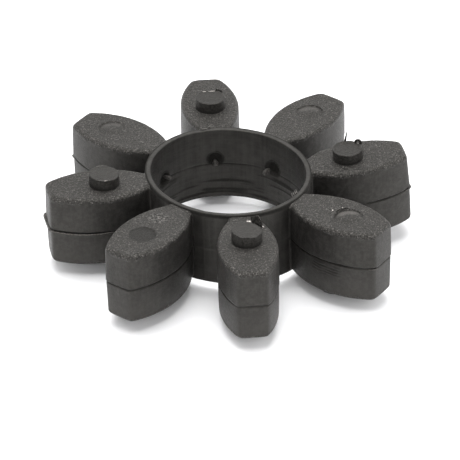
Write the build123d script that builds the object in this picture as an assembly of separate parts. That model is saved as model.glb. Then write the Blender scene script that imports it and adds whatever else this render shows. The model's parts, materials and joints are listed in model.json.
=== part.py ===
"""Elastomer spider of a curved-jaw coupling: a thin ring with eight crowned lobes.

Frame: origin at the centre of the ring on its mid plane, which is the mould's parting plane.
+Z runs along the bore. +X passes through the middle of the lobe called "e".
The moulding is divided into its features. They meet face to face, and all of them are one body.
"""
from build123d import *
from math import cos, radians, sin
import os

# ---- driving dimensions, millimetres and degrees -------------------------------------------
OUTER_DIAMETER = 95.0        # across two opposite lobe ends
LOBE_HEIGHT = 20.0           # thickness of the cushions between the two hub faces
PIP_HEIGHT = 3.0             # stands each hub face off the cushions
LOBE_NAMES = ("e", "ne", "n", "nw", "w", "sw", "s", "se")

BORE_DIAMETER = 40.0
RING_WALL = 1.5
RING_PROUD = 0.3             # how far the ring's rims stand above and below the lobes

LOBE_MAX_WIDTH = 15.6        # at the middle of the lobe's length
FLANK_RADIUS = 23.0          # plan radius of the crowned flanks
DRAFT_ANGLE = 1.0            # each mould half tapers away from the parting plane
LOBE_EDGE_RADIUS = 1.3       # soft edges round the flat top and bottom
LOBE_CORNER_RADIUS = 0.7     # upright corners between flank and outer end
LOBE_ROOT_RADIUS = 1.2       # upright hollow fillets where a flank runs into the ring

PIP_DIAMETER = 7.7
PIP_CIRCLE_RADIUS = 32.4     # from the bore axis to a pip's axis
PIP_EDGE_RADIUS = 0.35

MARK_DIAMETER = 7.7          # ejector mark, a round sink in the lobes that carry no top pip
MARK_DEPTH = 0.3
MARK_CIRCLE_RADIUS = 36.8

GATE_DIAMETER = 4.2          # spherical dimple in the bore where the rubber was injected
GATE_DEPTH = 1.0
GATE_RISE = 0.9              # the gates open into the upper mould half, just above the parting

# ---- worked out from them ------------------------------------------------------------------
OUTER_RADIUS = OUTER_DIAMETER / 2
BORE_RADIUS = BORE_DIAMETER / 2
RING_RADIUS = BORE_RADIUS + RING_WALL
RING_HEIGHT = LOBE_HEIGHT + 2 * RING_PROUD
HALF_HEIGHT = LOBE_HEIGHT / 2
LOBE_MIDDLE = (RING_RADIUS + OUTER_RADIUS) / 2
FLANK_OFFSET = FLANK_RADIUS - LOBE_MAX_WIDTH / 2
LOBE_PITCH = 360 / len(LOBE_NAMES)
GATE_SPHERE_RADIUS = (GATE_DIAMETER**2 / 4 + GATE_DEPTH**2) / (2 * GATE_DEPTH)


def make_ring():
    """The carrying ring, with one gate dimple in the bore behind every lobe."""
    ring = Cylinder(RING_RADIUS, RING_HEIGHT) - Cylinder(BORE_RADIUS, RING_HEIGHT)
    gate_centre = BORE_RADIUS + GATE_DEPTH - GATE_SPHERE_RADIUS
    for index in range(len(LOBE_NAMES)):
        angle = radians(index * LOBE_PITCH)
        centre = (gate_centre * cos(angle), gate_centre * sin(angle), GATE_RISE)
        ring -= Pos(*centre) * Sphere(GATE_SPHERE_RADIUS)
    return ring


def lobe_outline():
    """Plan of a lobe on +X and the disc it grows from: two crowned flanks and the outer arc."""
    left = Pos(LOBE_MIDDLE, -FLANK_OFFSET) * Circle(FLANK_RADIUS)
    right = Pos(LOBE_MIDDLE, FLANK_OFFSET) * Circle(FLANK_RADIUS)
    petal = left & right & Circle(OUTER_RADIUS)
    outline = (petal + Circle(RING_RADIUS)).face()
    end_corners = outline.vertices().sort_by(Axis.X)[-2:]
    outline = fillet(end_corners, LOBE_CORNER_RADIUS)
    near_root = [v for v in outline.vertices() if 0 < v.X < RING_RADIUS + LOBE_CORNER_RADIUS]
    roots = sorted(near_root, key=lambda vertex: abs(vertex.Y))[-2:]
    return fillet(roots, LOBE_ROOT_RADIUS)


def make_lobe(marked):
    """One lobe on +X, with draft on both mould halves and soft edges."""
    outline = lobe_outline()
    upper = extrude(outline, HALF_HEIGHT, taper=DRAFT_ANGLE)
    upper = fillet(upper.faces().sort_by(Axis.Z)[-1].outer_wire().edges(), LOBE_EDGE_RADIUS)
    lobe = upper + mirror(upper, Plane.XY)
    lobe -= Cylinder(RING_RADIUS, RING_HEIGHT)
    if marked:
        mark = Cylinder(MARK_DIAMETER / 2, 2 * MARK_DEPTH)
        lobe -= Pos(MARK_CIRCLE_RADIUS, 0, HALF_HEIGHT) * mark
    return lobe


def make_pip():
    """A spacer pip on top of the lobe on +X. Its free rim is rounded."""
    pip = Cylinder(PIP_DIAMETER / 2, PIP_HEIGHT, align=(Align.CENTER, Align.CENTER, Align.MIN))
    pip = fillet(pip.edges().sort_by(Axis.Z)[-1], PIP_EDGE_RADIUS)
    return Pos(PIP_CIRCLE_RADIUS, 0, HALF_HEIGHT) * pip


def build_nodes():
    """Every node by name. Pips alternate: above the even lobes, below the odd ones."""
    plain_lobe = make_lobe(marked=False)
    marked_lobe = make_lobe(marked=True)
    top_pip = make_pip()
    bottom_pip = mirror(top_pip, Plane.XY)
    nodes = {"ring": make_ring()}
    for index, name in enumerate(LOBE_NAMES):
        turn = Rot(0, 0, index * LOBE_PITCH)
        if index % 2 == 0:
            nodes[f"lobe_{name}"] = turn * plain_lobe
            nodes[f"top_pip_{name}"] = turn * top_pip
        else:
            nodes[f"lobe_{name}"] = turn * marked_lobe
            nodes[f"bottom_pip_{name}"] = turn * bottom_pip
    return nodes


os.makedirs("parts", exist_ok=True)
for node_name, solid in build_nodes().items():
    export_step(solid, f"parts/{node_name}.step")
    print(node_name, round(solid.volume, 1))
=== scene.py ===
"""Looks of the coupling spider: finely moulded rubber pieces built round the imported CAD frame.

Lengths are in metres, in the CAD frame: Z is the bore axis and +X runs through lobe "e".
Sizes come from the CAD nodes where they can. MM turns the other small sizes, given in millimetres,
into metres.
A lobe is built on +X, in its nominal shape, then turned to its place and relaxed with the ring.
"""
import itertools
import json
import math

import bmesh
import bpy
import numpy as np
from mathutils import Matrix, Vector


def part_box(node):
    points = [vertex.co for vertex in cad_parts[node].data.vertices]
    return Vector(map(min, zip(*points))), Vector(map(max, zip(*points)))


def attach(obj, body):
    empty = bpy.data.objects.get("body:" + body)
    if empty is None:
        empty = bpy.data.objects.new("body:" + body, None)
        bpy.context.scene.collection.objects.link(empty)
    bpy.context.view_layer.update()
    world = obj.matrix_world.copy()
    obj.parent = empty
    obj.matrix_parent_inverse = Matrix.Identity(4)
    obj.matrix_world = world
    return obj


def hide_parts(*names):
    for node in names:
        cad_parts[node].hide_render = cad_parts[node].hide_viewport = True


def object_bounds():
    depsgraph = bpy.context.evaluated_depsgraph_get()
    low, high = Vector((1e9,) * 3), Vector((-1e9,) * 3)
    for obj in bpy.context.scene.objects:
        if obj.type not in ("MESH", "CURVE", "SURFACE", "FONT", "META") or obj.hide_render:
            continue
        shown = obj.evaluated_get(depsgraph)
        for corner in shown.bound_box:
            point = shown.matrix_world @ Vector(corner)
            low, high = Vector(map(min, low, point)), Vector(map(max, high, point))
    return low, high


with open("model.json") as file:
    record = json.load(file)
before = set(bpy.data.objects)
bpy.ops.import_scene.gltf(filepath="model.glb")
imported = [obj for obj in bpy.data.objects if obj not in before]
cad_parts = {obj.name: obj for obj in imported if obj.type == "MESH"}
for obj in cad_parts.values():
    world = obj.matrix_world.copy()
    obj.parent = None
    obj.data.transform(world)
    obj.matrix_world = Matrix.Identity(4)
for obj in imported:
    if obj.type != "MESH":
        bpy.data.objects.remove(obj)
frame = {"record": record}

cad_low, cad_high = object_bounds()

MM = 0.001
MOUNTS = {mount["name"]: mount for mount in frame["record"]["mounts"]}

# ---- sizes that the CAD frame gives ----
LOBE_NAMES = ("e", "ne", "n", "nw", "w", "sw", "s", "se")
LOBE_PITCH = 2 * math.pi / len(LOBE_NAMES)

ring_low, ring_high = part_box("ring")
lobe_low, lobe_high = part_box("lobe_e")
pip_low, pip_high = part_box("top_pip_e")

BORE_RADIUS = MOUNTS["bore"]["dims"]["r_mm"] * MM
RING_RADIUS = ring_high.x
RING_HALF = ring_high.z
OUTER_RADIUS = lobe_high.x
LOBE_HALF = lobe_high.z
LOBE_HALF_WIDTH = lobe_high.y
PIP_RADIUS = (pip_high.x - pip_low.x) / 2
PIP_PLACE = (pip_high.x + pip_low.x) / 2
PIP_HEIGHT = pip_high.z - LOBE_HALF
FLOOR_HEIGHT = cad_low.z

# ---- the moulding lies a little out of round, as a soft ring does when nothing holds it ----
OVALITY = 0.84 * MM             # the ring is this much smaller in radius along OVAL_ANGLE
OVAL_ANGLE = math.radians(33.7)
RING_MIDDLE = (BORE_RADIUS + RING_RADIUS) / 2
# lobe: (how far its tip is raised, how far it is swung round), both about its root
LEANS = {
    "e": (math.radians(4.2), math.radians(-0.9)),
    "w": (0.0, math.radians(-2.1)),
}
NECK = 5 * MM                   # the bend takes this length of the lobe from its root

SAME_POINT = 0.002 * MM         # points of a mesh that are this close are joined


# ======== shape helpers ========

def lumps(points, size, seed=0):
    """Smooth lumps about size across, from -1 to 1, always the same at the same place."""
    scaled = np.asarray(points) / size + 31.7 * (seed + 1)
    cell = np.floor(scaled)
    inside = scaled - cell
    ease = inside * inside * (3 - 2 * inside)
    total = np.zeros(len(scaled))
    for corner in itertools.product((0, 1), repeat=3):
        key = (cell + corner) @ np.array([127.1, 311.7, 74.7])
        dice = np.sin(key) * 43758.5453
        weight = np.prod(np.where(corner, ease, 1 - ease), axis=1)
        total += weight * (2 * (dice - np.floor(dice)) - 1)
    return total


def smooth_step(value, low, high):
    """Rises smoothly from 0 at low to 1 at high, or falls where high is below low."""
    share = np.clip((value - low) / (high - low), 0, 1)
    return share * share * (3 - 2 * share)


def turned(points, angle):
    """The points turned about the bore axis."""
    c, s = math.cos(angle), math.sin(angle)
    out = np.array(points, float)
    x, y = out[:, 0].copy(), out[:, 1].copy()
    out[:, 0] = c * x - s * y
    out[:, 1] = s * x + c * y
    return out


def oval_mode(angle):
    """How far a point of the ring moves outwards and round, and how far a lobe there turns."""
    swing = 2 * (angle - OVAL_ANGLE)
    outwards = -OVALITY * np.cos(swing)
    round_ring = OVALITY / 2 * np.sin(swing)
    lobe_turn = -1.5 * OVALITY * np.sin(swing) / RING_MIDDLE
    return outwards, round_ring, lobe_turn


def relaxed_ring(points):
    """Takes points of the round ring to the slightly oval one."""
    out = np.array(points, float)
    angle = np.arctan2(out[:, 1], out[:, 0])
    outwards, round_ring, _ = oval_mode(angle)
    out[:, 0] += outwards * np.cos(angle) - round_ring * np.sin(angle)
    out[:, 1] += outwards * np.sin(angle) + round_ring * np.cos(angle)
    return out


def in_place(points, index):
    """Takes points of a lobe built on +X to lobe number index, as stiffly as a block of rubber."""
    angle = index * LOBE_PITCH
    outwards, round_ring, lobe_turn = oval_mode(angle)
    raised, swung = LEANS.get(LOBE_NAMES[index], (0.0, 0.0))
    out = np.array(points, float)
    arm = np.maximum(out[:, 0] - RING_RADIUS, 0)
    out[:, 0] -= out[:, 2] * math.sin(raised) * smooth_step(arm, 0, NECK)
    out[:, 1] += arm * math.sin(swung)
    out[:, 2] += arm * math.sin(raised)
    out[:, 0] -= RING_MIDDLE
    out = turned(out, lobe_turn)
    out[:, 0] += RING_MIDDLE + outwards
    out[:, 1] += round_ring
    return turned(out, angle)


def grid_faces(rows, columns):
    """Quads between the points of a grid stored row by row, closed round each row."""
    faces = []
    for row, column in itertools.product(range(rows - 1), range(columns)):
        after = (column + 1) % columns
        a, b = row * columns + column, row * columns + after
        faces.append((a, b, b + columns, a + columns))
    return faces


def make_object(name, points, faces, material, smooth=True, **paint):
    """A mesh object. Each paint is one number per point, which the material reads by name."""
    mesh = bpy.data.meshes.new(name)
    mesh.from_pydata(np.asarray(points).tolist(), [], faces)
    for layer, values in paint.items():
        attribute = mesh.attributes.new(layer, "FLOAT", "POINT")
        attribute.data.foreach_set("value", np.asarray(values, dtype=np.float32))
    piece = bpy.data.objects.new(name, mesh)
    bpy.context.scene.collection.objects.link(piece)
    mesh.materials.append(material)
    bm = bmesh.new()
    bm.from_mesh(mesh)
    bmesh.ops.remove_doubles(bm, verts=bm.verts, dist=SAME_POINT)
    bmesh.ops.recalc_face_normals(bm, faces=bm.faces)
    bm.to_mesh(mesh)
    bm.free()
    if smooth:
        mesh.polygons.foreach_set("use_smooth", [True] * len(mesh.polygons))
    return piece


# ======== lobes ========

FLANK_RADIUS = 23 * MM
FLANK_OFFSET = FLANK_RADIUS - LOBE_HALF_WIDTH
LOBE_MIDDLE = (RING_RADIUS + OUTER_RADIUS) / 2
LOBE_DRAFT = math.tan(math.radians(1.0))
LOBE_EDGE = 1.25 * MM           # soft rim of the flat faces
CORNER_CRISPNESS = 42           # how sharply the outline's curves meet
BURIED_ROOT = RING_RADIUS - 1.1 * MM         # the outline ends inside the ring's wall
ROOT_FACE = RING_RADIUS - 0.2 * MM           # and its points are brought out to here
ROOT_FLARE = 0.7 * MM           # hollow fillet where a flank runs into the ring
OUTLINE_POINTS = 288
FINE_STEPS = 6001               # to measure the outline's length
RIM_STEPS = 12                  # rows round a lobe's soft rim
WALL_STEPS = 40                 # rows down half of a flank

SEAM_WIDTH = 0.38 * MM
SEAM_DEPTH = 0.55 * MM
LOWER_INSET = 0.15 * MM         # the lower mould half's cavity is this much smaller all round
GRAIN_HEIGHT = 0.060 * MM       # spark-eroded skin of the flat faces
SINK_HEIGHT = 0.07 * MM         # slow unevenness of the rubber

MARK_RADIUS = 3.70 * MM         # ejector mark, a round sink in the lobes with no top pip
MARK_PLACE = 36.8 * MM
# name: (depth, height of the dome in it, softness of its edge, direction of its deep side)
MARKS = {
    "ne": (0.34 * MM, 0.38 * MM, 0.06, math.radians(70)),
    "nw": (0.34 * MM, 0.40 * MM, 0.10, math.radians(130)),
    "sw": (0.30 * MM, 0.10 * MM, 0.22, math.radians(10)),
    "se": (0.44 * MM, 0.46 * MM, 0.05, math.radians(130)),
}
POLISH = {"sw": 1.0}            # how dark the mark's floor is
PLAIN_POLISH = 0.25
GLEAM = {"ne": 0.6, "nw": 0.45, "se": 1.0}    # how strongly the far side of its dome shines
# name: (x, y, radius) of torn, sparkling patches of skin
SCUFFS = {
    "sw": (-20.6 * MM, -18.4 * MM, 3.2 * MM),
    "se": (22.6 * MM, -22.3 * MM, 1.3 * MM),
    "nw": (-20.2 * MM, 18.2 * MM, 0.9 * MM),
}

FOLD_HEIGHT = 0.10 * MM
FOLD_PITCH = 0.75 * MM
# name: (x from, x to, lowest z) of cold folds in the lobe's clockwise flank, under the parting line
FOLDS = {"se": (30 * MM, 40 * MM, -4.4 * MM)}


def reach(theta, hub, inset):
    """Distance from (hub, 0) to the lobe's outline, inset all round, in the directions theta."""
    dx, dy = np.cos(theta), np.sin(theta)

    def to_circle(cy, radius, cx=0.0):
        """Distance to the far side of a circle round (cx, cy)."""
        px, py = hub - cx, -cy
        b = px * dx + py * dy
        return -b + np.sqrt(np.maximum(b * b - (px * px + py * py - radius * radius), 0))

    left = to_circle(-FLANK_OFFSET, FLANK_RADIUS - inset, LOBE_MIDDLE)
    right = to_circle(FLANK_OFFSET, FLANK_RADIUS - inset, LOBE_MIDDLE)
    end = to_circle(0, OUTER_RADIUS - inset)
    b = hub * dx
    gap = b * b - (hub * hub - BURIED_ROOT * BURIED_ROOT)
    root = np.where((gap > 0) & (b < 0), -b - np.sqrt(np.maximum(gap, 0)), 1.0)
    nearest = np.maximum(np.stack([left, right, end, root]), 0.1 * MM)
    return np.sum(nearest ** -CORNER_CRISPNESS, axis=0) ** (-1 / CORNER_CRISPNESS)


def even_directions(hub):
    """Directions from the hub that step evenly along the outline."""
    theta = np.linspace(-math.pi, math.pi, FINE_STEPS)
    r = reach(theta, hub, 0.0)
    x, y = r * np.cos(theta), r * np.sin(theta)
    length = np.concatenate(([0], np.cumsum(np.hypot(np.diff(x), np.diff(y)))))
    wanted = np.linspace(0, length[-1], OUTLINE_POINTS + 1)[:-1]
    return np.interp(wanted, length, theta)


def flared(points):
    """Widens a lobe towards its root, where each flank sweeps into the ring's wall."""
    out = np.array(points, float)
    radius = np.hypot(out[:, 0], out[:, 1])
    away = np.clip((radius - RING_RADIUS) / (1.6 * ROOT_FLARE), 0, 1)
    flare = ROOT_FLARE * (1 - np.sqrt(1 - (1 - away) ** 2))
    reach_x = FLANK_RADIUS ** 2 - (out[:, 0] - LOBE_MIDDLE) ** 2
    half_width = np.sqrt(np.maximum(reach_x, FLANK_OFFSET ** 2)) - FLANK_OFFSET
    out[:, 1] *= 1 + flare / np.maximum(half_width, 2 * MM)
    return out


def side_profile():
    """(z, inset, groove) rows from the top rim down to the bottom rim."""
    rows = []
    for step in range(RIM_STEPS + 1):
        slope = math.pi / 2 * (1 - step / RIM_STEPS)
        z = LOBE_HALF - LOBE_EDGE * (1 - math.sin(slope))
        rows.append((z, LOBE_EDGE * (1 - math.cos(slope)), 0.0))
    wall_top = LOBE_HALF - LOBE_EDGE
    rows += [(z, 0.0, 0.0) for z in np.linspace(wall_top, 2.2 * SEAM_WIDTH, WALL_STEPS)[1:]]
    for share in (1.5, 1.1, 0.8, 0.5, 0.25, 0.0):
        rows.append((share * SEAM_WIDTH, 0.0, max(0.0, 1 - share) ** 0.8))
    rows = [(z, inset + LOBE_DRAFT * z, groove) for z, inset, groove in rows]
    return rows + [(-z, inset, groove) for z, inset, groove in reversed(rows[:-1])]


def cap_points(rim, hub, theta, height, mark):
    """Rows from the rim to the hub, over the flat face and its ejector mark or pip seat."""
    circle = np.column_stack([MARK_RADIUS * np.cos(theta), MARK_RADIUS * np.sin(theta)])
    centre = np.array([hub, 0.0])
    rows = []
    for share in np.linspace(0, 1, 44)[1:]:
        flat = rim[:, :2] * (1 - share) + (centre + circle) * share
        rows.append(np.column_stack([flat, np.full(len(flat), height)]))
    shares = np.concatenate([np.linspace(0.99, 0.88, 9), np.linspace(0.84, 0.0, 18)])
    for share in shares:
        sink = np.zeros(len(theta))
        if mark:
            depth, crown, softness, deep_side = mark
            wall = smooth_step(1 - share, 0.0, softness)
            tilt = 0.62 + 0.38 * share * np.cos(theta - deep_side)
            sink = depth * wall * tilt - crown * max(0.0, 1 - (share / 0.88) ** 2) ** 1.5
        rows.append(np.column_stack([centre + circle * share, height - sink]))
    return rows


def fold_strength(points, name):
    """How far each point lies inside the folds of its lobe's flank, from 0 to 1."""
    if name not in FOLDS:
        return np.zeros(len(points))
    near, far, low = FOLDS[name]
    x, y, z = points.T
    along = smooth_step(x, near, near + 1.5 * MM) * (1 - smooth_step(x, far - 3 * MM, far))
    return along * smooth_step(-z, 0.5 * MM, 0.8 * MM) * smooth_step(z, low, low + 1 * MM) * (y < 0)


def plain_lobe(index, name, hub):
    """Points of the smooth lobe on +X, and how deep in the parting line's channel each of them lies;
    that depth is also painted as shade.
    """
    mark = None
    if name in MARKS:
        depth, crown, softness, deep_side = MARKS[name]
        mark = (depth, crown, softness, deep_side - index * LOBE_PITCH)
    theta = even_directions(hub)
    rows, grooves = [], []
    for z, inset, groove in side_profile():
        r = reach(theta, hub, inset)
        rows.append(np.column_stack([hub + r * np.cos(theta), r * np.sin(theta), np.full(len(r), z)]))
        grooves.append(np.full(len(r), groove))
    top = list(reversed(cap_points(rows[0], hub, theta, LOBE_HALF, mark)))
    bottom = cap_points(rows[-1], hub, theta, -LOBE_HALF, None)
    points = flared(np.concatenate(top + rows + bottom))
    radius = np.hypot(points[:, 0], points[:, 1])
    points[:, :2] *= (np.maximum(radius, ROOT_FACE) / radius)[:, None]
    no_groove = [np.zeros(len(theta))]
    return points, np.concatenate(no_groove * len(top) + grooves + no_groove * len(bottom))


def mark_paints(points, index, name, upper):
    """The floor of the ejector mark, and the painted highlight on the far side of the dome in it,
    from 0 to 1.
    """
    if name not in MARKS:
        return np.zeros(len(points)), np.zeros(len(points))
    middle = in_place([[MARK_PLACE, 0, 0]], index)[0]
    spread = np.hypot(points[:, 0] - middle[0], points[:, 1] - middle[1])
    in_mark = (1 - smooth_step(spread, 0.9 * MARK_RADIUS, MARK_RADIUS)) * upper
    far_side = (points[:, 1] - middle[1]) / np.maximum(spread, 0.1 * MM)
    dome = smooth_step(spread, 0.10 * MARK_RADIUS, 0.55 * MARK_RADIUS) * in_mark
    dome *= 1 - smooth_step(spread, 0.80 * MARK_RADIUS, 0.90 * MARK_RADIUS)
    return in_mark, GLEAM.get(name, 0) * dome * smooth_step(far_side, 0.0, 0.8)


def scuff_paint(points, name, upper):
    """How far each point lies inside its lobe's torn patch of skin, from 0 to 1."""
    if name not in SCUFFS:
        return np.zeros(len(points))
    x, y, radius = SCUFFS[name]
    spread = np.hypot(points[:, 0] - x, points[:, 1] - y)
    return (1 - smooth_step(spread, 0.6 * radius, radius)) * upper


def build_lobe(index, name, material):
    """A cushion lobe with its parting channel, painted shade in it, its grainy skin and what moulding
    left on it.
    """
    hub = MARK_PLACE if name in MARKS else PIP_PLACE
    points, groove = plain_lobe(index, name, hub)
    level = points[:, 2].copy()
    folds = fold_strength(points, name)
    points = in_place(points, index)
    hub_place = in_place([[hub, 0, 0]], index)[0]
    away = points[:, :2] - hub_place[:2]
    away /= np.maximum(np.hypot(away[:, 0], away[:, 1]), 0.1 * MM)[:, None]

    # the parting groove, of uneven depth, and the step between the two mould halves
    uneven = 0.75 + 0.55 * lumps(points, 3.5 * MM, 1)
    points[:, :2] -= away * (SEAM_DEPTH * groove * uneven)[:, None]
    points[:, :2] -= away * (LOWER_INSET * smooth_step(-level, 0, 0.12 * MM))[:, None]

    # folds, where two flows of rubber met without joining
    wave = np.sin(2 * math.pi * level / FOLD_PITCH + 4 * lumps(points, 2.5 * MM, 6))
    wave *= np.clip(0.8 + 0.9 * lumps(points, 1.6 * MM, 7), 0, 1.3)
    points[:, :2] += away * (FOLD_HEIGHT * folds * wave)[:, None]
    # painted shade: the folds' troughs are darkened as well
    groove = np.maximum(groove, 0.6 * folds * smooth_step(-wave, 0.0, 0.9))

    # slow unevenness, then the spark-eroded skin, which ends raggedly just below the rim
    height, upper = np.abs(level), level > 0
    points[:, :2] += away * (SINK_HEIGHT * lumps(points, 6 * MM, 2))[:, None]
    ragged = height + 0.45 * MM * lumps(points, 1.1 * MM, 3)
    skin = smooth_step(ragged, LOBE_HALF - 1.55 * MM, LOBE_HALF - 0.75 * MM)
    face = smooth_step(height, LOBE_HALF - LOBE_EDGE, LOBE_HALF - 0.3 * MM)
    in_mark, gleam = mark_paints(points, index, name, upper)
    rim = skin * (1 - smooth_step(height, LOBE_HALF - 0.14 * MM, LOBE_HALF - 0.01 * MM))
    rim *= 1 - in_mark
    scuff = scuff_paint(points, name, upper)
    bumps = 0.6 * lumps(points, 0.62 * MM, 4) + 0.5 * lumps(points, 0.33 * MM, 5)
    bumps *= GRAIN_HEIGHT * skin * (1 - 0.35 * rim) * (1 - 0.7 * in_mark) * (1 + 1.5 * scuff)
    points[:, 2] += np.sign(level) * bumps * face
    points[:, :2] += away * (bumps * (1 - face))[:, None]
    faces = grid_faces(len(points) // OUTLINE_POINTS, OUTLINE_POINTS)
    # the parting channel's depth and the folds' troughs are painted as shade
    return make_object(f"moulded_lobe_{name}", points, faces, material,
                       skin=skin, rim=rim, polish=in_mark * POLISH.get(name, PLAIN_POLISH),
                       gleam=gleam, scuff=scuff, groove=groove)


# ======== ring ========

RING_COLUMNS = 540
RIM_EDGE = 0.28 * MM
RING_SEAM_DEPTH = 0.20 * MM
GATE_RADIUS = 2.1 * MM
GATE_DEPTH = 1.2 * MM
GATE_RISE = 0.9 * MM            # gates sit just above the parting plane
# lobe: how far its gate was cut away from the nominal place (round the bore, upwards)
GATE_SHIFTS = {
    "nw": (0.2 * MM, -0.8 * MM),
    "n": (0.0, 0.5 * MM),
    "ne": (-0.5 * MM, 0.2 * MM),
}


def ring_profile():
    """Closed (radius, z) loop: up the bore, over the top rim, down the outside, under."""
    def corner(cr, cz, start):
        angles = [math.radians(start - 18 * k) for k in range(6)]
        return [(cr + RIM_EDGE * math.cos(a), cz + RIM_EDGE * math.sin(a)) for a in angles]

    inner, outer, top = BORE_RADIUS + RIM_EDGE, RING_RADIUS - RIM_EDGE, RING_HALF - RIM_EDGE
    loop = [(BORE_RADIUS, z) for z in np.linspace(-top, top, 97)[1:-1]]
    loop += corner(inner, top, 180)
    loop += [(r, RING_HALF) for r in np.linspace(inner, outer, 6)[1:-1]]
    loop += corner(outer, top, 90)
    loop += [(RING_RADIUS, z) for z in np.linspace(top, -top, 49)[1:-1]]
    loop += corner(outer, -top, 0)
    loop += [(r, -RING_HALF) for r in np.linspace(outer, inner, 6)[1:-1]]
    loop += corner(inner, -top, 270)
    return loop


def gate_distance(angle, z):
    """Distance of a point of the bore from the middle of the nearest gate, in gate radii."""
    nearest = np.round(angle / LOBE_PITCH)
    shifts = np.array([GATE_SHIFTS.get(name, (0.0, 0.0)) for name in LOBE_NAMES])
    sideways, upwards = shifts[nearest.astype(int) % len(LOBE_NAMES)].T
    across = (angle - nearest * LOBE_PITCH) * BORE_RADIUS - sideways
    return np.hypot(across, z - GATE_RISE - upwards) / GATE_RADIUS


def build_ring(material):
    """The carrying ring, with gate dimples and flow lines in its bore."""
    loop = np.array(ring_profile())
    angle = np.tile(np.linspace(0, 2 * math.pi, RING_COLUMNS, endpoint=False), len(loop))
    radius = np.repeat(loop[:, 0], RING_COLUMNS)
    z = np.repeat(loop[:, 1], RING_COLUMNS)

    def place():
        return np.column_stack([radius * np.cos(angle), radius * np.sin(angle), z])

    start = place()
    in_bore = radius < BORE_RADIUS + 0.01 * MM
    share = gate_distance(angle, z)
    dimple = in_bore * GATE_DEPTH * np.clip(1 - share ** 2, 0, 1) ** 0.7
    # painted shade: a ragged dark halo round each gate dimple
    halo_shade = 0.75 * in_bore * (1 - smooth_step(share + 0.25 * lumps(start, 1.5 * MM, 17), 0.95, 1.3))

    # the parting line wanders, and the bore has flow lines round it, more below the line
    wander = 0.35 * MM * lumps(start * (1, 1, 0), 7 * MM, 11)
    seam = np.clip(1 - np.abs(z - wander) / (0.30 * MM), 0, 1)
    broken = 0.75 + 0.65 * lumps(start * (1, 1, 0), 4 * MM, 12)
    long_way = start * (0.10, 0.10, 1.0)
    flow = 0.6 * lumps(long_way, 0.9 * MM, 13) + 0.4 * lumps(long_way, 0.45 * MM, 14)
    lower = smooth_step(-z, 0, 2 * MM)
    dark_flow = in_bore * lower * smooth_step(-flow, 0.12, 0.5)
    flow *= 0.075 * MM * (0.3 + 0.7 * lower)
    radius = radius + dimple + in_bore * (RING_SEAM_DEPTH * seam * broken + flow)

    # the outside has a finer parting line and tool lines, and painted shade in a band just under its
    # top rim, where it meets the lobes' tops
    outer_wall = radius > RING_RADIUS - 0.01 * MM
    radius = radius - outer_wall * 0.10 * MM * np.clip(1 - np.abs(z) / (0.2 * MM), 0, 1)
    tool_lines = lumps(start * (1, 1, 0.02), 0.7 * MM, 15)
    radius = radius + 0.02 * MM * tool_lines * (1 - in_bore)
    # painted shade: a dark band round the outside just under the top rim
    rim_gap_shade = smooth_step(radius, RING_RADIUS - 0.55 * MM, RING_RADIUS - 0.30 * MM)
    rim_gap_shade *= smooth_step(z, RING_HALF - 0.9 * MM, RING_HALF - 0.6 * MM)
    near_rim = np.sign(z) * smooth_step(np.abs(z), RING_HALF - 1 * MM, RING_HALF)
    z = z + 0.06 * MM * lumps(start * (1, 1, 0), 3 * MM, 16) * near_rim
    faces = grid_faces(len(loop), RING_COLUMNS)
    last = (len(loop) - 1) * RING_COLUMNS
    for column in range(RING_COLUMNS):
        after = (column + 1) % RING_COLUMNS
        faces.append((last + column, last + after, after, column))
    # painted shade in the bore's parting line, in the gate dimples and the halos round them, and in
    # the band under the top rim; the flow lines are darker in their own colour
    groove = np.maximum(seam * broken * in_bore, np.minimum(1, 1.6 * dimple / GATE_DEPTH))
    groove = np.maximum(groove, halo_shade)
    groove = np.maximum(groove, np.maximum(0.8 * dark_flow, rim_gap_shade))
    return make_object("moulded_ring", relaxed_ring(place()), faces, material, groove=groove)


# lobe: (sideways and upwards from the gate's nominal place, length beyond the bore's wall)
TORN_GATES = {
    "nw": (-1.4 * MM, -0.9 * MM, 1.0 * MM),
    "n": (0.0, -1.1 * MM, 0.6 * MM),
    "ne": (1.4 * MM, -1.3 * MM, 1.7 * MM),
}
PLAIN_GATE = (0.0, -0.3 * MM, 0.6 * MM)
STUB_RADIUS = 0.78 * MM
STUB_COLUMNS, STUB_ROWS = 26, 14


def build_gate_stub(index, name, material):
    """The torn end of the injection point, standing in its dimple."""
    turn = np.tile(np.linspace(0, 2 * math.pi, STUB_COLUMNS, endpoint=False), STUB_ROWS)
    share = np.repeat(np.linspace(0, 1, STUB_ROWS), STUB_COLUMNS)
    spread = np.where(share < 0.99, STUB_RADIUS * np.sqrt(np.clip(1.02 - share ** 3, 0, 1)), 0.0)
    seed = 3 * index
    sideways, upwards, proud = TORN_GATES.get(name, PLAIN_GATE)
    length = GATE_DEPTH + proud
    directions = np.column_stack([np.cos(turn), np.sin(turn), np.full(len(turn), 0.7 * index)])
    spread *= 1 + 0.45 * lumps(directions, 0.9, seed)
    across, up = spread * np.cos(turn), spread * np.sin(turn)
    inwards = length * share
    tip = np.column_stack([across, up, inwards])
    inwards = inwards + 0.30 * MM * share * lumps(tip, 0.5 * MM, seed + 1)
    up = up + 0.2 * MM * share * lumps(tip, 0.8 * MM, seed + 2)
    points = np.column_stack([BORE_RADIUS + GATE_DEPTH + 0.05 * MM - inwards, across + sideways,
                              GATE_RISE + upwards + up])
    return make_object(f"gate_stub_{name}", in_place(points, index),
                       grid_faces(STUB_ROWS, STUB_COLUMNS), material)


# ======== pips ========

PIP_COLUMNS = 120
PIP_EDGE = 0.24 * MM
WORN_EDGE = 0.75 * MM           # the bottom pips' edge, worn round
PIP_FILLET = 0.10 * MM
PIP_DRAFT = 0.012
PLAIN_PIP = (PIP_HEIGHT, 0.0, 0.0)
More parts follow.
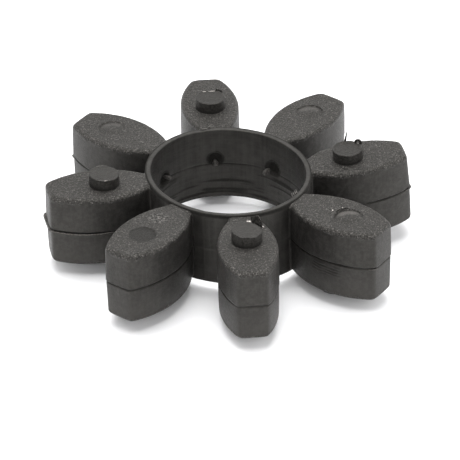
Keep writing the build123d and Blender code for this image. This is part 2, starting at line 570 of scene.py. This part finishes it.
# lobe: (height of its top pip, depth of the dish in its crown, drop of the crown's +X side)
PIP_SHAPES = {
    "e": (2.85 * MM, 0.26 * MM, 0.20 * MM),
    "n": (PIP_HEIGHT, 0.05 * MM, 0.0),
    "w": (PIP_HEIGHT, 0.06 * MM, 0.25 * MM),
    "s": (PIP_HEIGHT, 0.0, 0.25 * MM),
}
CHORD = 2.85 * MM
# lobe: (direction in degrees, reach from the axis, slope) of flats trimmed on its top pip
TRIMS = {
    "n": ((0, CHORD, 0.4),),
    "s": ((0, 3.40 * MM, 0.12), (52, 3.58 * MM, 0.12), (-52, 3.58 * MM, 0.12)),
}


def pip_profile(height, edge):
    """(radius, z, crown) rows up a pip's side and over its crown, where crown is 1."""
    rows = [(PIP_RADIUS + PIP_FILLET, -0.08 * MM, 0)]
    for step in range(6):
        a = math.radians(18 * step)
        rows.append((PIP_RADIUS + PIP_FILLET * (1 - math.sin(a)), PIP_FILLET * (1 - math.cos(a)), 0))
    side = np.linspace(PIP_FILLET, height - edge, 10)[1:]
    rows += [(PIP_RADIUS - PIP_DRAFT * z, z, 0) for z in side]
    for step in range(1, 7):
        a = math.radians(15 * step)
        rows.append((PIP_RADIUS - edge * (1 - math.cos(a)), height - edge * (1 - math.sin(a)), 0))
    rows += [(r, height, 1) for r in np.linspace(PIP_RADIUS - edge, 0, 32)[1:]]
    return np.array(rows)


def build_pip(index, name, top, material):
    """A spacer pip with a small root fillet, a rounded rim and its own uneven crown."""
    height, dish, drop = PIP_SHAPES.get(name, PLAIN_PIP) if top else PLAIN_PIP
    profile = pip_profile(height, PIP_EDGE if top else WORN_EDGE)
    turn = np.tile(np.linspace(0, 2 * math.pi, PIP_COLUMNS, endpoint=False), len(profile))
    radius, z, crown = (np.repeat(column, PIP_COLUMNS) for column in profile.T)
    rim = np.column_stack([np.cos(turn), np.sin(turn), np.full(len(turn), 3.1 * index)])
    radius = radius * (1 + 0.016 * lumps(rim, 0.8, 21))
    x, y = radius * np.cos(turn), radius * np.sin(turn)
    for degrees, flat, slope in TRIMS.get(name, ()) if top else ():
        c, s = math.cos(math.radians(degrees)), math.sin(math.radians(degrees))
        excess = np.maximum(x * c + y * s - flat - slope * np.maximum(height - z, 0), 0)
        x, y = x - excess * c, y - excess * s
    place = np.column_stack([x, y, np.full(len(x), index * MM)])
    ragged_rim = 1 + 0.06 * lumps(place, 1.2 * MM, 24)
    hollow = crown * (1 - smooth_step(radius / PIP_RADIUS * ragged_rim, 0.74, 0.90))
    lift = 0.05 * lumps(place, 1.8 * MM, 22) + 0.04 * lumps(place, 0.6 * MM, 23)
    angle = index * LOBE_PITCH
    to_right = (x * math.cos(angle) - y * math.sin(angle)) / PIP_RADIUS
    share = np.clip(z / height, 0, 1)
    z = z - dish * hollow + (lift * MM - drop * to_right) * share
    points = np.column_stack([PIP_PLACE + x, y, LOBE_HALF + z])
    if not top:
        points[:, 2] *= -1
    kind = "top" if top else "bottom"
    # painted shade on the lower part of the pip's side, where the lobe's top shades it
    return make_object(f"moulded_{kind}_pip_{name}", in_place(points, index),
                       grid_faces(len(profile), PIP_COLUMNS), material,
                       groove=1 - smooth_step(share, 0.05, 0.45))


# ======== flash and burrs ========

LEAF_STEPS = 7                  # points across a leaf's upper side
STRAND_SIDES = 14


def number_of(lobe):
    return LOBE_NAMES.index(lobe)


def leaf(name, index, inner, outer, curl, thickness, material):
    """A thin leaf of flash between two edges of a lobe built on +X. Its outer edge curls up."""
    upper = np.linspace(0, 1, LEAF_STEPS)
    across = np.concatenate([upper, upper[-2:0:-1]])
    side = np.where(np.arange(len(across)) < LEAF_STEPS, 1, -1)
    inner, outer = np.array(inner, float), np.array(outer, float)
    width = np.linalg.norm(outer - inner, axis=1)
    body = np.minimum(1, width / (2 * thickness))
    rows = []
    for start, end, rise, share in zip(inner, outer, np.broadcast_to(curl, len(inner)), body):
        row = start + across[:, None] * (end - start)
        row[:, 2] += rise * across ** 2 + side * share * thickness / 2 * (1 - across ** 6)
        rows.append(row)
    points = np.concatenate(rows)
    return make_object(name, in_place(points, index), grid_faces(len(rows), len(across)), material)


def strand(name, index, path, radii, material):
    """A thin round thread of rubber along a path on a lobe built on +X, closed at both ends."""
    path = np.array(path, float)
    along = np.gradient(path, axis=0)
    along /= np.linalg.norm(along, axis=1)[:, None]
    first = np.cross(along, (0.3, 0.9, 0.2))
    first /= np.linalg.norm(first, axis=1)[:, None]
    second = np.cross(along, first)
    turn = np.linspace(0, 2 * math.pi, STRAND_SIDES, endpoint=False)[None, :, None]
    circle = np.cos(turn) * first[:, None] + np.sin(turn) * second[:, None]
    points = path[:, None] + np.array(radii)[:, None, None] * circle
    points = np.concatenate([np.repeat(path[:1], STRAND_SIDES, axis=0), points.reshape(-1, 3),
                             np.repeat(path[-1:], STRAND_SIDES, axis=0)])
    faces = grid_faces(len(path) + 2, STRAND_SIDES)
    return make_object(name, in_place(points, index), faces, material)


# name: (lobe, (direction from the pip's axis in degrees, how far it stands out, curl) stations)
PARTING_FLASH = {
    "flash_w": ("w", ((-20, 0, 0), (-18, 0.40, 0.45), (-15, 0.62, 0.50), (-9, 0.66, 0.35),
                      (-3, 0.52, 0.15), (3, 0.48, 0), (14, 0.50, 0), (30, 0.46, 0), (60, 0.34, 0),
                      (82, 0.18, 0), (102, 0, 0))),
    "flash_e": ("e", ((-20, 0, 0), (-16, 0.42, 0.1), (-12, 0.36, 0.1), (-5, 0, 0))),
    "flash_nw": ("nw", ((8, 0, 0), (12, 0.45, 0.15), (15, 0.42, 0.15), (19, 0, 0))),
    "flash_se": ("se", ((-20, 0, 0), (-16, 0.24, 0.1), (-13, 0.20, 0.1), (-9, 0, 0))),
}
FLASH_DROP = 0.20 * MM          # it hangs from the lower edge of the parting groove
FLASH_THICKNESS = 0.22 * MM


def build_parting_flash(name, material):
    """Thin flash along part of a lobe's parting line."""
    lobe, stations = PARTING_FLASH[name]
    degrees, proud, curl = np.array(stations, float).T
    steps = np.linspace(degrees[0], degrees[-1], 90)
    theta = np.radians(steps)
    wall = reach(theta, PIP_PLACE, 0.0)
    ragged = 1 + 0.25 * lumps(np.column_stack([steps, steps * 0, steps * 0]), 5.0, 31)
    out = np.interp(steps, degrees, proud) * MM * ragged
    buried = np.minimum(0.3 * MM, 3 * out)
    edges = [np.column_stack([PIP_PLACE + r * np.cos(theta), r * np.sin(theta), 0 * r - FLASH_DROP])
             for r in (wall - buried, wall + out)]
    return leaf(name, number_of(lobe), *edges, np.interp(steps, degrees, curl) * MM,
                FLASH_THICKNESS, material)


def on_pip(lobe, degrees, radius, rise=0.0):
    """A point above the rim of a top pip, in its lobe's own frame."""
    height = PIP_SHAPES[lobe][0]
    a = math.radians(degrees)
    return (PIP_PLACE + radius * math.cos(a), radius * math.sin(a), LOBE_HALF + height + rise)


def build_rim_sliver(name, lobe, start, end, width, material, inset=0.1 * MM, lift=0.12 * MM):
    """A torn sliver, in the material given, that lies on a pip's rim, between two directions from its
    axis.
    """
    steps = np.linspace(start, end, 12)
    taper = np.sin(np.linspace(0, math.pi, 12)) ** 0.6
    middle = PIP_RADIUS - inset
    inner = [on_pip(lobe, d, middle - width / 2 * t, 0.02 * MM) for d, t in zip(steps, taper)]
    outer = [on_pip(lobe, d, middle + width / 2 * t, 0.02 * MM) for d, t in zip(steps, taper)]
    return leaf(name, number_of(lobe), inner, outer, lift, 0.10 * MM, material)


def tapered(count, width):
    """Widths of a sliver that narrows to both of its blunt ends."""
    return np.sin(np.linspace(0.05, math.pi - 0.05, count)) ** 0.5 * width


def hair_and_curl(dark):
    """A hair standing on pip e and a thread curled over its rim."""
    root = on_pip("e", 86, PIP_RADIUS - 0.1 * MM, -0.3 * MM)
    hair = [(root[0] + 0.75 * MM * t, root[1], root[2] + 2.9 * MM * t) for t in np.linspace(0, 1, 8)]
    yield strand("hair_burr", number_of("e"), hair, 0.30 * MM * (1 - np.linspace(0, 0.65, 8)), dark)
    hub = on_pip("e", 31, PIP_RADIUS, -0.05 * MM)
    loop = [(hub[0] + 0.62 * MM * math.cos(a), hub[1] - 0.25 * MM * math.cos(a),
             hub[2] + 0.62 * MM * math.sin(a)) for a in np.radians(np.linspace(-40, 205, 18))]
    yield strand("curled_burr", number_of("e"), loop, 0.36 * MM * np.linspace(1.0, 0.8, 18), dark)


def rim_slivers(glint, dull):
    """Torn slivers along the rims of pips e and w; the whitish one on pip w's front is a painted
    glint.
    """
    yield build_rim_sliver("sliver_e", "e", 14, 30, 0.25 * MM, dull, inset=0.5 * MM)
    yield build_rim_sliver("sliver_w", "w", 78, 96, 0.34 * MM, glint)
    yield build_rim_sliver("sliver_w_front", "w", 30, 120, 0.22 * MM, dull)
    yield build_rim_sliver("sliver_w_back", "w", -112, -66, 0.12 * MM, dull)


def trimmed_edge(dark, glint):
    """The straight rim that pip n has along its chord, with whitish slivers on it that are painted
    glints, and the flap at its end.
    """
    x = PIP_PLACE + CHORD - 0.1 * MM
    z = LOBE_HALF + PIP_HEIGHT + 0.02 * MM
    for part, low, high, width in (("a", 0.9, 1.8, 0.13), ("b", -1.5, 0.2, 0.09)):
        ys = np.linspace(low, high, 10) * MM
        half = tapered(10, width * MM) / 2
        inner, outer = (np.column_stack([x + side * half, ys, ys * 0 + z]) for side in (-1, 1))
        yield leaf(f"chord_sliver_{part}", number_of("n"), inner, outer, 0.12 * MM, 0.1 * MM, glint)
    around = np.linspace(-62, -28, 9)
    notch = [on_pip("n", degrees, PIP_RADIUS - 0.35 * MM, -0.3 * MM) for degrees in around]
    flap = [on_pip("n", degrees, PIP_RADIUS + 0.1 * MM, 0.35 * MM) for degrees in around]
    yield leaf("dark_flap", number_of("n"), notch, flap, 0.0, 0.12 * MM, dark)


def curled_leaf(dark, glint, dull):
    """A dark curled leaf between pip s and the ring, with a paler edge and a whitish tip that is a
    painted glint, and a curl on the rim that is a painted glint too.
    """
    share = np.linspace(0, 1, 16)
    foot = np.column_stack([25.1 + 2.0 * share, 2.2 + 2.3 * share, 9.95 + 0 * share]) * MM
    crest = np.column_stack([np.interp(share, (0, 0.55, 1), column) * MM
                             for column in ((23.9, 24.6, 27.1), (1.7, 3.6, 4.7), (11.3, 12.1, 10.3))])
    yield leaf("dark_leaf", number_of("s"), foot, crest, 0.25 * MM, 0.12 * MM, dark)
    edge = np.column_stack([24.7 + 2.5 * share, 3.75 + 0.95 * share, 12.15 - 2.0 * share]) * MM
    yield strand("leaf_edge", number_of("s"), edge, 0.09 * MM * (0.6 + 0.6 * share), dull)
    yield strand("leaf_tip", number_of("s"), edge[-3:], 0.17 * MM * np.ones(3), glint)
    yield build_rim_sliver("sliver_s", "s", 158, 175, 0.36 * MM, glint, inset=-0.1 * MM,
                           lift=0.25 * MM)


def torn_mark_skin(dark, glint, dull):
    """Torn skin round the ejector mark of lobe se, two of its bits whitish as painted glints: (part,
    from and to degrees, radius, width).
    """
    for part, low, high, radius, width, material in (("a", 176, 183, 4.9, 0.20, glint),
                                                     ("b", 150, 172, 4.15, 0.14, dull),
                                                     ("c", 142, 147, 4.3, 0.12, glint),
                                                     ("d", 124, 178, 3.80, 0.30, dark)):
        turn = np.radians(np.linspace(low, high, 10))
        half = tapered(10, width) / 2
        inner, outer = (np.column_stack([MARK_PLACE + r * MM * np.cos(turn), r * MM * np.sin(turn),
                                         np.full(10, LOBE_HALF + 0.03 * MM)])
                        for r in (radius - half, radius + half))
        yield leaf(f"mark_burr_{part}", number_of("se"), inner, outer, 0.2 * MM, 0.10 * MM, material)


def torn_ring_rim(dull):
    """Torn rubber on the ring's upper rim, by lobes n and se."""
    torn_rim = np.array([(20.6, 4.0, 10.3), (20.7, 3.1, 10.4), (20.7, 2.2, 10.4), (20.6, 1.6, 10.3)])
    radii = np.array([0.08, 0.14, 0.14, 0.08])
    yield strand("rim_burr", number_of("n"), torn_rim * MM, radii * MM, dull)
    crumb = np.array([(21.3, 1.3, 10.3), (21.3, 1.25, 10.6), (21.3, 1.2, 10.9)])
    radii = np.array([0.2, 0.22, 0.12])
    yield strand("rim_crumb", number_of("n"), crumb * MM, radii * MM, dull)
    radii = np.array([0.13, 0.12, 0.07])
    for number, y in enumerate((-0.5, 0.2, 0.9, 1.5)):
        tip_height = 10.6 + 0.1 * (number % 2)
        fibre = np.array([(20.1, y, 10.2), (19.6, y + 0.4, 10.5), (19.1, y + 0.8, tip_height)])
        yield strand(f"rim_fibre_{number}", number_of("se"), fibre * MM, radii * MM, dull)


def build_burrs(dark, glint, dull):
    """The loose bits left by trimming."""
    yield from hair_and_curl(dark)
    yield from rim_slivers(glint, dull)
    yield from trimmed_edge(dark, glint)
    yield from curled_leaf(dark, glint, dull)
    yield from torn_mark_skin(dark, glint, dull)
    yield from torn_ring_rim(dull)


# ======== materials ========

SHEEN_TINT = (1.0, 0.97, 0.89, 1.0)          # the rubber's sheen is a little warm


def new_material(name):
    """A material with its node tree, its shader and the place in metres."""
    material = bpy.data.materials.new(name)
    material.use_nodes = True
    tree = material.node_tree
    coordinates = tree.nodes.new("ShaderNodeTexCoord")
    shader = tree.nodes["Principled BSDF"]
    shader.inputs["Specular Tint"].default_value = SHEEN_TINT
    return material, tree, shader, coordinates.outputs["Object"]


def painted(tree, layer):
    """Reads one of the paints that make_object stores."""
    node = tree.nodes.new("ShaderNodeAttribute")
    node.attribute_name = layer
    return node.outputs["Fac"]


def stretched(tree, vector, scale):
    node = tree.nodes.new("ShaderNodeMapping")
    node.inputs["Scale"].default_value = scale
    tree.links.new(vector, node.inputs["Vector"])
    return node.outputs["Vector"]


def noise_of(tree, vector, size, detail=2.0, roughness=0.5):
    """Noise whose features are about size across."""
    node = tree.nodes.new("ShaderNodeTexNoise")
    node.inputs["Scale"].default_value = 1 / size
    node.inputs["Detail"].default_value = detail
    node.inputs["Roughness"].default_value = roughness
    tree.links.new(vector, node.inputs["Vector"])
    return node.outputs["Fac"]


def ramp(tree, value, low, high, out_low=0.0, out_high=1.0):
    """Maps low to high onto out_low to out_high, and stays level beyond them."""
    node = tree.nodes.new("ShaderNodeMapRange")
    for socket, number in (("From Min", low), ("From Max", high),
                           ("To Min", out_low), ("To Max", out_high)):
        node.inputs[socket].default_value = number
    tree.links.new(value, node.inputs["Value"])
    return node.outputs["Result"]


def combine(tree, operation, a, b):
    node = tree.nodes.new("ShaderNodeMath")
    node.operation = operation
    for socket, value in zip(node.inputs, (a, b)):
        if isinstance(value, (int, float)):
            socket.default_value = value
        else:
            tree.links.new(value, socket)
    return node.outputs["Value"]


def mix_colour(tree, share, a, b):
    node = tree.nodes.new("ShaderNodeMix")
    node.data_type = "RGBA"
    tree.links.new(share, node.inputs["Factor"])
    for socket, value in ((node.inputs[6], a), (node.inputs[7], b)):
        if isinstance(value, tuple):
            socket.default_value = (*value, 1.0)
        else:
            tree.links.new(value, socket)
    return node.outputs[2]


def bump(tree, height, distance, before=None):
    node = tree.nodes.new("ShaderNodeBump")
    node.inputs["Distance"].default_value = distance
    tree.links.new(height, node.inputs["Height"])
    if before is not None:
        tree.links.new(before, node.inputs["Normal"])
    return node.outputs["Normal"]


def grey(value):
    """The rubber's slightly warm grey."""
    return (1.13 * value, 1.06 * value, value)


def lobe_material():
    """Matt nitrile rubber: grainy, sparkling skin on the faces, faintly streaked flanks."""
    material, tree, shader, place = new_material("lobe_rubber")
    skin, rim, polish = painted(tree, "skin"), painted(tree, "rim"), painted(tree, "polish")
    scuff, groove, gleam = painted(tree, "scuff"), painted(tree, "groove"), painted(tree, "gleam")
    parts = tree.nodes.new("ShaderNodeSeparateXYZ")
    tree.links.new(place, parts.inputs["Vector"])
    lower = ramp(tree, parts.outputs["Z"], -0.5 * MM, -9 * MM)
    grain = noise_of(tree, place, 0.50 * MM, 3.0, 0.75)
    specks = ramp(tree, noise_of(tree, place, 0.36 * MM, 1.0), 0.58, 0.68)
    streaks = noise_of(tree, stretched(tree, place, (1, 1, 0.07)), 0.8 * MM, 3.0, 0.6)
    patches = noise_of(tree, place, 4.5 * MM, 4.0, 0.6)
    mottle = noise_of(tree, place, 1.2 * MM, 3.0, 0.65)

    wall = mix_colour(tree, ramp(tree, streaks, 0.35, 0.7), grey(0.009), grey(0.016))
    wall = mix_colour(tree, ramp(tree, patches, 0.42, 0.72, 0.0, 0.7), wall, grey(0.024))
    wall = mix_colour(tree, ramp(tree, mottle, 0.46, 0.68, 0.0, 0.4), wall, grey(0.030))
    wall = mix_colour(tree, ramp(tree, mottle, 0.54, 0.36, 0.0, 0.35), wall, grey(0.004))
    # painted bounce light: the flanks grow lighter towards the bottom, where the white table lights
    # them
    wall = mix_colour(tree, combine(tree, "MULTIPLY", lower, 0.4), wall, grey(0.036))
    face = mix_colour(tree, ramp(tree, grain, 0.40, 0.60), grey(0.001), grey(0.024))
    face = mix_colour(tree, specks, face, grey(0.085))
    # the soft rim: a crumbly, paler edge, partly real and partly a painted highlight where the rim
    # catches the light
    crust_and_highlight = mix_colour(tree, ramp(tree, grain, 0.42, 0.58), grey(0.008), grey(0.036))
    crust_and_highlight = mix_colour(tree, specks, crust_and_highlight, grey(0.09))
    face = mix_colour(tree, combine(tree, "MULTIPLY", rim, 0.5), face, crust_and_highlight)
    face = mix_colour(tree, polish, face, grey(0.004))
    # painted highlight on the far side of each ejector mark's dome
    face = mix_colour(tree, gleam, face, grey(0.065))
    colour = mix_colour(tree, skin, wall, face)
    crumbs = ramp(tree, noise_of(tree, place, 0.34 * MM, 1.0), 0.56, 0.62)
    torn = mix_colour(tree, crumbs, grey(0.003), grey(0.18))
    colour = mix_colour(tree, combine(tree, "MULTIPLY", scuff, 0.7), colour, torn)
    # painted shade: darkest in the parting channel and the folds' troughs
    colour = mix_colour(tree, groove, colour, grey(0.002))
    tree.links.new(colour, shader.inputs["Base Color"])

    rough = ramp(tree, grain, 0.3, 0.7, 0.40, 0.58)
    rough = combine(tree, "SUBTRACT", rough, combine(tree, "MULTIPLY", scuff, 0.15))
    tree.links.new(rough, shader.inputs["Roughness"])
    shader.inputs["Specular IOR Level"].default_value = 0.31

    grain_height = combine(tree, "MULTIPLY", grain, ramp(tree, skin, 0, 1, 0.18, 1.0))
    normal = bump(tree, grain_height, 0.34 * MM)
    normal = bump(tree, streaks, 0.035 * MM, normal)
    normal = bump(tree, mottle, 0.03 * MM, normal)
    tree.links.new(normal, shader.inputs["Normal"])
    return material


def ring_material():
    """Smoother rubber with fine tool lines up the walls and faint flow lines across them."""
    material, tree, shader, place = new_material("ring_rubber")
    groove = painted(tree, "groove")
    upright = noise_of(tree, stretched(tree, place, (1, 1, 0.05)), 0.9 * MM, 3.0, 0.6)
    flow = noise_of(tree, stretched(tree, place, (0.10, 0.10, 1.0)), 0.8 * MM, 3.0, 0.6)
    grain = noise_of(tree, place, 0.35 * MM, 2.0, 0.6)
    patches = noise_of(tree, place, 5 * MM, 3.0, 0.6)
    colour = mix_colour(tree, ramp(tree, upright, 0.35, 0.7), grey(0.005), grey(0.013))
    colour = mix_colour(tree, ramp(tree, flow, 0.5, 0.72, 0.0, 0.4), colour, grey(0.022))
    colour = mix_colour(tree, ramp(tree, patches, 0.45, 0.7, 0.0, 0.6), colour, grey(0.024))
    # painted shade in the bore's parting line, the gate dimples and their halos, and under the top
    # rim; darker flow lines too
    colour = mix_colour(tree, groove, colour, grey(0.002))
    tree.links.new(colour, shader.inputs["Base Color"])
    rough = combine(tree, "ADD", ramp(tree, grain, 0.3, 0.7, 0.40, 0.6),
                    combine(tree, "MULTIPLY", groove, 0.4))
    tree.links.new(rough, shader.inputs["Roughness"])
    shader.inputs["Specular IOR Level"].default_value = 0.38
    normal = bump(tree, upright, 0.035 * MM)
    normal = bump(tree, flow, 0.030 * MM, normal)
    normal = bump(tree, grain, 0.030 * MM, normal)
    tree.links.new(normal, shader.inputs["Normal"])
    return material


def pip_material():
    """As the lobes, but from a smoother pocket of the mould."""
    material, tree, shader, place = new_material("pip_rubber")
    groove = painted(tree, "groove")
    grain = noise_of(tree, place, 0.50 * MM, 3.0, 0.7)
    colour = mix_colour(tree, ramp(tree, grain, 0.38, 0.64), grey(0.002), grey(0.026))
    # painted shade round the pip's base
    colour = mix_colour(tree, groove, colour, grey(0.002))
    tree.links.new(colour, shader.inputs["Base Color"])
    tree.links.new(ramp(tree, grain, 0.3, 0.7, 0.40, 0.6), shader.inputs["Roughness"])
    shader.inputs["Specular IOR Level"].default_value = 0.31
    tree.links.new(bump(tree, grain, 0.20 * MM), shader.inputs["Normal"])
    return material


def fibrous_material(name, size, detail, top, tones, roughness, relief):
    """Rubber with an open surface: fine fibres, size across, between two tones of grey."""
    material, tree, shader, place = new_material(name)
    fibres = noise_of(tree, place, size, *detail)
    colour = mix_colour(tree, ramp(tree, fibres, 0.35, top), grey(tones[0]), grey(tones[1]))
    tree.links.new(colour, shader.inputs["Base Color"])
    tree.links.new(ramp(tree, fibres, 0.3, 0.7, *roughness), shader.inputs["Roughness"])
    tree.links.new(bump(tree, fibres, relief), shader.inputs["Normal"])
    return material


def torn_material():
    """Torn rubber is paler and rougher than its moulded skin."""
    return fibrous_material("torn_rubber", 0.3 * MM, (3.0, 0.7), 0.65, (0.010, 0.075),
                            (0.5, 0.8), 0.15 * MM)


def painted_glint_material():
    """Painted glint: the shiny edge of a torn sliver, coloured near white to stand for a highlight.
    """
    return fibrous_material("painted_glint_rubber", 0.25 * MM, (2.0, 0.6), 0.6, (0.14, 0.50),
                            (0.25, 0.4), 0.05 * MM)


def scraped_material():
    """Thin flash and scraped edges, a little paler than the skin round them."""
    return fibrous_material("scraped_rubber", 0.4 * MM, (2.0, 0.6), 0.65, (0.02, 0.10),
                            (0.30, 0.5), 0.06 * MM)


def glossy_material():
    """Thin flash and hairs, smooth and nearly black, with fine lines."""
    material, tree, shader, place = new_material("glossy_rubber")
    lines = noise_of(tree, stretched(tree, place, (2.0, 1.0, 0.3)), 0.35 * MM, 2.0, 0.6)
    colour = mix_colour(tree, ramp(tree, lines, 0.5, 0.68), grey(0.002), grey(0.04))
    tree.links.new(colour, shader.inputs["Base Color"])
    tree.links.new(ramp(tree, lines, 0.3, 0.7, 0.35, 0.55), shader.inputs["Roughness"])
    shader.inputs["Specular IOR Level"].default_value = 0.15
    tree.links.new(bump(tree, lines, 0.10 * MM), shader.inputs["Normal"])
    return material


# ======== build ========

lobe_rubber = lobe_material()
ring_rubber = ring_material()
pip_rubber = pip_material()
torn_rubber = torn_material()
glint_rubber = painted_glint_material()
scraped_rubber = scraped_material()
glossy_rubber = glossy_material()


def place_piece(piece, slot, *nodes):
    """Every piece rides the one rigid body. Some stand for CAD nodes."""
    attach(piece, "root")
    if nodes:
        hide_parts(*nodes)


place_piece(build_ring(ring_rubber), "ring_rubber", "ring")
for index, name in enumerate(LOBE_NAMES):
    on_top = index % 2 == 0
    pip_node = f"top_pip_{name}" if on_top else f"bottom_pip_{name}"
    place_piece(build_lobe(index, name, lobe_rubber), "lobe_rubber", f"lobe_{name}")
    place_piece(build_pip(index, name, on_top, pip_rubber), "pip_rubber", pip_node)
    place_piece(build_gate_stub(index, name, torn_rubber), "ring_rubber")
for name in PARTING_FLASH:
    place_piece(build_parting_flash(name, scraped_rubber), "lobe_rubber")
for burr in build_burrs(glossy_rubber, glint_rubber, scraped_rubber):
    place_piece(burr, "pip_rubber")


# ======== stage, light and camera ========

TABLE_SIZE = 0.9


def white_floor():
    """A matt white table top, which the bottom pips stand on."""
    material, _, shader, _ = new_material("white_table")
    shader.inputs["Specular Tint"].default_value = (1, 1, 1, 1)
    shader.inputs["Base Color"].default_value = (0.93, 0.93, 0.94, 1)
    shader.inputs["Roughness"].default_value = 0.55
    shader.inputs["Specular IOR Level"].default_value = 0.2
    half = TABLE_SIZE / 2
    corners = [(-half, -half, FLOOR_HEIGHT), (half, -half, FLOOR_HEIGHT),
               (half, half, FLOOR_HEIGHT), (-half, half, FLOOR_HEIGHT)]
    floor = make_object("table_top", corners, [(0, 1, 2, 3)], material, smooth=False)


def area_light(name, place, size, watts):
    """A rectangular softbox that faces the part."""
    data = bpy.data.lights.new(name, "AREA")
    data.shape = "RECTANGLE"
    data.size, data.size_y = size
    data.energy = watts
    lamp = bpy.data.objects.new(name, data)
    bpy.context.scene.collection.objects.link(lamp)
    lamp.location = place
    lamp.rotation_mode = "QUATERNION"
    lamp.rotation_quaternion = (-Vector(place)).to_track_quat("-Z", "Y")


WALL_BRIGHTNESS = 1.12
WALL_TOP = (0.50, 0.70)         # the wall fades out between these sines of the elevation
# name: (place, size, watts)
SOFTBOXES = {
    "overhead": ((0.0, 0.28, 0.75), (0.7, 0.6), 5.7),
    "centre": ((0.0, 0.0, 0.75), (0.35, 0.35), 2.7),
    "upper_left": ((-0.42, 0.05, 0.65), (0.45, 0.45), 1.5),
    "ceiling": ((0.0, 0.0, 0.9), (1.2, 1.0), 2.0),
    "right": ((0.75, 0.10, 0.45), (0.6, 0.6), 3.2),
    "front": ((0.0, -0.80, 0.50), (0.8, 0.6), 3.2),
}


def studio():
    """White walls round a white table, and softboxes above it."""
    world = bpy.data.worlds.new("studio")
    bpy.context.scene.world = world
    world.use_nodes = True
    tree = world.node_tree
    direction = tree.nodes.new("ShaderNodeTexCoord").outputs["Generated"]
    parts = tree.nodes.new("ShaderNodeSeparateXYZ")
    tree.links.new(direction, parts.inputs["Vector"])
    wall = ramp(tree, parts.outputs["Z"], *WALL_TOP, 1.0, 0.0)
    sky = tree.nodes["Background"]
    sky.inputs["Color"].default_value = (1, 1, 1, 1)
    tree.links.new(combine(tree, "MULTIPLY", wall, WALL_BRIGHTNESS), sky.inputs["Strength"])
    for name, (place, size, watts) in SOFTBOXES.items():
        area_light(name + "_softbox", place, size, watts)


CAMERA_AZIMUTH = math.radians(-8.14)
CAMERA_ELEVATION = math.radians(33.11)
CAMERA_ROLL = math.radians(-1.115)
CAMERA_LENS = 299.5
CAMERA_SENSOR = 36.0
CAMERA_DISTANCE = 20.838 * OUTER_RADIUS
AIM_RIGHT = 0.0066 * OUTER_RADIUS
AIM_DOWN = 0.1393 * OUTER_RADIUS


def studio_camera():
    """A long lens that looks down on the part from the side of lobe s."""
    back = Vector((math.sin(CAMERA_AZIMUTH) * math.cos(CAMERA_ELEVATION),
                   -math.cos(CAMERA_AZIMUTH) * math.cos(CAMERA_ELEVATION),
                   math.sin(CAMERA_ELEVATION)))
    level = Vector((math.cos(CAMERA_AZIMUTH), math.sin(CAMERA_AZIMUTH), 0))
    upright = back.cross(level)
    right = math.cos(CAMERA_ROLL) * level + math.sin(CAMERA_ROLL) * upright
    up = back.cross(right)
    data = bpy.data.cameras.new("camera")
    data.lens = CAMERA_LENS
    data.sensor_width = CAMERA_SENSOR
    camera = bpy.data.objects.new("camera", data)
    bpy.context.scene.collection.objects.link(camera)
    place = back * CAMERA_DISTANCE + right * AIM_RIGHT - up * AIM_DOWN
    turn = Matrix((right, up, back)).transposed().to_4x4()
    camera.matrix_world = Matrix.Translation(place) @ turn
    bpy.context.scene.camera = camera


white_floor()
studio()
studio_camera()
bpy.context.scene.view_settings.view_transform = "Standard"
